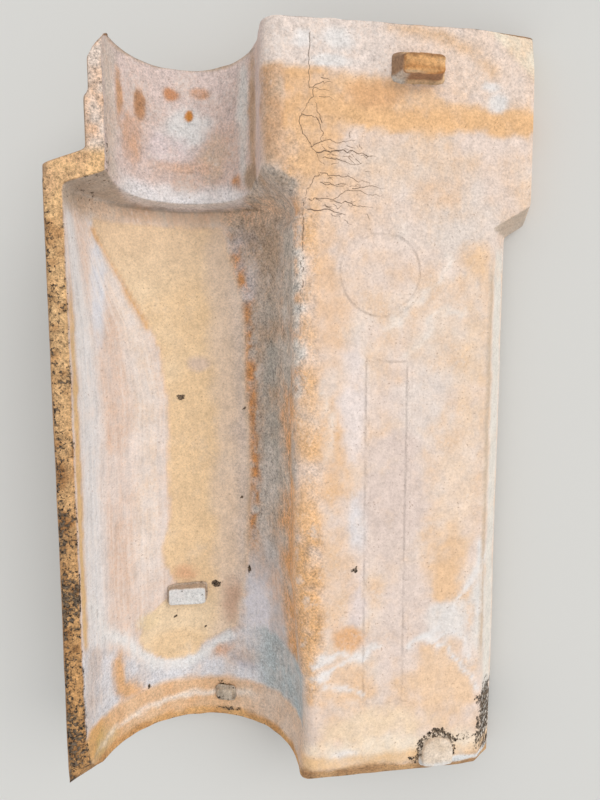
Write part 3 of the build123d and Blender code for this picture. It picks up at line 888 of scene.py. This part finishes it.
root_paths = [
    ((3, 206), (3, 191), (3, 179), (5, 179), (7, 178), (14, 178)), ((5, 179), (4, 174), (1, 169), (-1, 166)),
    ((-1, 166), (-2, 164), (-2, 160), (-1, 156), (2, 153), (5, 149), (7, 144), (11, 140)),
    ((-1, 166), (2, 165), (7, 164), (9, 161)), ((9, 161), (7, 168), (6, 172)),
    ((7, 147), (17, 147), (26, 148), (37, 145)), ((9, 136), (6, 133), (3, 129), (1, 125), (0, 122)),
    ((9, 136), (16, 135), (25, 134), (36, 131)), ((1, 123), (7, 122), (14, 122), (18, 124), (21, 127),
    (26, 128), (34, 126), (43, 125)), ((2, 117), (7, 117), (14, 117), (18, 115), (23, 114)),
    ((0, 122), (0, 111), (-1, 94), (-1, 78), (-2, 64), (-2, 52)), ((3, 149), (12, 153), (20, 152), (27, 154)),
    ((10, 144), (18, 143), (27, 141), (33, 142)), ((14, 122), (22, 121), (30, 119), (38, 119)),
    ((9, 131), (17, 130), (24, 130)), ((26, 128), (35, 130), (44, 129)), ((5, 179), (10, 182), (16, 182)),
    ((7, 164), (10, 158), (9, 152)), ((9, 185), (13, 184)), ((8, 174), (12, 175), (17, 173)),
]
hair = np.random.default_rng(71)
for _ in range(44):
    start = np.array((hair.uniform(6, 34), hair.choice((150, 144, 133, 122, 116)) + hair.normal(0, 3)))
    turn, reach = hair.normal(-0.15, 0.5), hair.uniform(1.5, 6)
    step = reach * np.array((math.cos(turn), math.sin(turn)))
    root_paths.append((start, start + 0.5 * step + hair.normal(0, 0.4, 2), start + step))
thread_points, thread_faces = [], []
for place, path in enumerate(root_paths):
    thick = 0.26 if place in (5, 9) else 0.16 if place < 19 else 0.11
    tube, faces = root_thread(path, 200 + 4 * place, thick)
    thread_faces += [[corner + len(thread_points) for corner in face] for face in faces]
    thread_points += tube.tolist()
dried_roots = mesh_of("dried_roots", thread_points, thread_faces, smooth=False)


def plain_skin(name, colour, rough):
    """A matt skin of one colour."""
    made = bpy.data.materials.new(name)
    made.use_nodes = True
    made.node_tree.nodes["Principled BSDF"].inputs["Base Color"].default_value = (*linear(colour), 1)
    made.node_tree.nodes["Principled BSDF"].inputs["Roughness"].default_value = rough
    return made


dried_roots.data.materials.append(plain_skin("dried root", "#75604f", 0.9))
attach(dried_roots, "root")


# The nib the tile hangs by: a block of the same clay, pressed with the pan, upright towards the tail
# and sloping at its back and ends. Pale and dark streaks along its top are painted highlight and painted
# shade on its ridges; its hook face and its left end are painted darker as shade.
def block_outline(count, power):
    """Outline of a block with rounded corners: a superellipse of that power, as rows of x and y."""
    turn = np.linspace(0, 2 * math.pi, count, endpoint=False)
    c, s = np.cos(turn), np.sin(turn)
    return np.array((c, s)) * (np.abs(c) ** power + np.abs(s) ** power) ** (-1 / power)


def lug_levels(low, high, flare, round_off):
    """Levels from a buried foot through a flared base and straight walls to a rounded, filled top.
    Each level is (x, y, half size along x, half size along y, height)."""
    low, high = np.array(low, float), np.array(high, float)
    wider, higher = np.array((0, 0, 1, 1, 0)), np.array((0, 0, 0, 0, 1))
    levels = [low + flare * wider - higher]
    for turn in np.linspace(0, math.pi / 2, 4):
        base = low + flare * (1 - math.sin(turn)) * wider
        levels.append(base + (flare * (1 - math.cos(turn)) - 0.15) * higher)
    for rise in np.linspace(low[4] + flare, high[4] - round_off, 7)[1:]:
        levels.append(low + (high - low) * (rise - low[4]) / (high[4] - low[4]))
    top = levels[-1]
    for turn in np.linspace(0, math.pi / 2, 5)[1:]:
        levels.append(top + round_off * (math.sin(turn) * higher - (1 - math.cos(turn)) * wider))
    return levels + [(*top[:2], *(top[2:4] - round_off) * share, high[4]) for share in (0.75, 0.5, 0.25)]


def lug(name, outline, levels, seed, rough, placed=np.asarray):
    """A closed lug: an outline scaled and lifted level by level, carried to its place, closed by fans
    and roughened along its normals. Its first level lies in the clay."""
    rings = np.array([
        np.column_stack([across + half_x * outline[0], up + half_y * outline[1], height + 0 * outline[0]])
        for across, up, half_x, half_y, height in levels
    ])
    points = placed(np.concatenate([rings.reshape(-1, 3), rings[[0, -1]].mean(1)]))
    number = np.arange(len(points) - 2).reshape(len(levels), -1)
    beside = np.roll(number, -1, axis=1)
    quads = np.stack([number[:-1], beside[:-1], beside[1:], number[1:]], axis=-1).reshape(-1, 4)
    bottom = np.column_stack([beside[0], number[0], 0 * number[0] + len(points) - 2])
    top = np.column_stack([number[-1], beside[-1], 0 * number[0] + len(points) - 1])
    bumps = rough * grainy(points, 3.5, seed) + 0.5 * rough * grainy(points, 1.6, seed + 1)
    points = points + outward(points, quads) * bumps[:, None]
    thing = mesh_of(name, points, quads.tolist() + bottom.tolist() + top.tolist())
    thing.data.materials.append(terracotta)
    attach(thing, "root")
    return thing, points


nib_levels = lug_levels((61.75, 191.5, 13.25, 6.5, 0), (61.75, 189.5, 10.5, 4.5, 12), 1.4, 1.3)
nib, nib_points = lug("nib", block_outline(96, 7), nib_levels, 31, 0.35)
nib_x, nib_y, nib_z = nib_points.T
nib_noise = grainy(nib_points, 4, 33)
nib_ridge_shading = grainy(nib_points * np.array([0.12, 1, 1]), 2.2, 34)
nib_marks = zone(len(nib_points), "#dfb98f", "#dfb98f", 0.42, 0.16, 1.8)
coats(nib_marks, [
    # Painted shade: the left end of the nib is darker.
    (fade(51, 54, nib_x + nib_noise), "#a8866a"),
    (ease(8.5, 11, nib_z + nib_noise), "#e2ab72"),
    # Painted highlight and painted shade: pale and dark streaks along the top's ridges.
    (ease(9.5, 11, nib_z) * ease(0.1, 0.7, nib_ridge_shading) * 0.8, "#f2d3aa"),
    (ease(9.5, 11, nib_z) * ease(0.1, 0.7, -nib_ridge_shading) * 0.7, "#b9783f"),
    # Painted shade: the hook face, towards the tail, is darker.
    (fade(185.4, 187.4, nib_y + 0.5 * nib_noise) * ease(0.5, 3, nib_z) * (nib_z < 10.5), "#a98365"),
    (fade(53, 56, nib_x + nib_noise) * fade(186, 188, nib_y) * (nib_z < 8) * 0.9, "#d9cdbf"),
    (band(nib_y + 0.6 * nib_noise, 192.5, 194.5, 0.8) * ease(6, 9, nib_z) * 0.7, "#7d5538"),
])
nib_marks["stain"] = nib_marks["clay"] * 0.82
keep_marks(nib, nib_points, nib_marks, 0.1)

# The bar in the barrel, which kept stacked tiles apart in the kiln: a block of the same clay whose flat
# top is crusted white. Dark grains at its foot and just under its top's edge are painted shade.
floor_z = barrel_z - barrel_radius
bar_place, bar_top = (axis_x - 6, -125), floor_z + 9


def on_floor(points):
    """Lower the bar's foot to the round of the barrel's floor, and keep its top flat."""
    x, y, z = points.T
    sunk = barrel_z - np.sqrt(barrel_radius**2 - (x - axis_x) ** 2) - floor_z
    return np.column_stack([x, y, z + sunk * fade(floor_z + 2, floor_z + 7, z)])


bar_levels = lug_levels((*bar_place, 12.5, 5.75, floor_z + 0.7), (*bar_place, 12.2, 5.5, bar_top), 0.9, 0.9)
bar, bar_points = lug("barrel_bar", block_outline(88, 9), bar_levels, 41, 0.22, on_floor)
bar_z = bar_points[:, 2]
on_top = ease(bar_top - 1.4, bar_top - 0.5, bar_z + 0.3 * grainy(bar_points, 3, 43))
bar_marks = zone(len(bar_points), "#c2b09e", "#a8937f", 0.35, 0.34, 1.8)
paint(bar_marks, on_top, "#e6e5e2", "#bdb9b6", None, 0.6)
# Painted shade: dark grains round the foot and just under the top's edge, with a little lichen all over.
bar_lichen_and_shade = 0.12 + 0.3 * band(bar_z, -80, -77, 1.2) + 0.16 * band(bar_z, bar_top - 1.6, bar_top - 0.4, 0.5)
keep_marks(bar, bar_points, bar_marks, bar_lichen_and_shade + 0.12 * on_top)


# A button of the same clay beside it near the tail, pressed on the collar's wall and half hidden by
# lichen.
def on_collar(points):
    """Stand the button on the collar's wall, 18 degrees round from its lowest line."""
    x, y, z = points.T
    s, c = math.sin(math.radians(18)), math.cos(math.radians(18))
    out = z - collar_radius + 0.2
    return np.column_stack([axis_x + c * x - s * out, y - 197.5, barrel_z + s * x + c * out])


button_levels = lug_levels((0, 0, 6, 4.5, 0), (0, 0, 5.2, 3.8, 3), 1, 1)
button, button_points = lug("barrel_button", block_outline(56, 5), button_levels, 51, 0.25, on_collar)
button_noise = grainy(button_points, 3, 53)
button_marks = zone(len(button_points), "#d2c2ae", "#8f806e", 0.4 + 0.2 * button_noise, 0.36, 2)
keep_marks(button, button_points, button_marks, 0.38 + 0.12 * button_noise)

# The half round lug on the pan's tail, which the mould left: a low boss, a half circle towards the
# head, whose square legs run out at the nose.
around = np.linspace(0, 2 * math.pi, 80, endpoint=False)
boss_outline = np.where(np.sin(around) > 0, (np.cos(around), np.sin(around)), block_outline(80, 10))
boss_levels = lug_levels((80.5, -199, 9.5, 9, 0), (80.5, -199, 9.2, 8.7, 4), 1.2, 1.6)
boss, boss_points = lug("half_round_lug", boss_outline, boss_levels, 61, 0.25)
boss_noise = grainy(boss_points, 4, 63)
# Painted shade: dark grains low on the boss's sides, at its foot.
boss_foot = fade(0.6, 3, boss_points[:, 2] + 0.8 * boss_noise)
boss_foot = boss_foot * ease(-207, -202, boss_points[:, 1])
boss_marks = zone(len(boss_points), "#eddac6", "#d6bfa6", 0.4 + 0.2 * boss_noise, 0.24, 1.4)
paint(boss_marks, fade(-207, -203, boss_points[:, 1]), "#dfe0de", None, None, 0.75)
keep_marks(boss, boss_points, boss_marks, 0.14 + 0.42 * boss_foot)

# The studio: a plain pale floor, a soft sky all round and one broad lamp from the head and the right.
floor_shape = bpy.data.meshes.new("floor")
floor_shape.from_pydata([(-3, -3, 0), (3, -3, 0), (3, 3, 0), (-3, 3, 0)], [], [(0, 1, 2, 3)])
floor = shown("floor", floor_shape)
floor_shape.materials.append(plain_skin("pale floor", "#dcdad5", 0.95))

sky = bpy.data.worlds.new("soft sky")
bpy.context.scene.world = sky
sky.use_nodes = True
sky.node_tree.nodes["Background"].inputs["Color"].default_value = (*linear("#f4f6f8"), 1)
sky.node_tree.nodes["Background"].inputs["Strength"].default_value = 0.8
lamp_shape = bpy.data.lights.new("broad lamp", "SUN")
lamp_shape.energy = 1.25
lamp_shape.angle = math.radians(35)
lamp = shown("broad lamp", lamp_shape)
lamp.rotation_euler = (lie_turn @ Vector((0.42, 0.4, 0.8))).to_track_quat("Z", "Y").to_euler()
bpy.context.scene.view_settings.view_transform = "Standard"
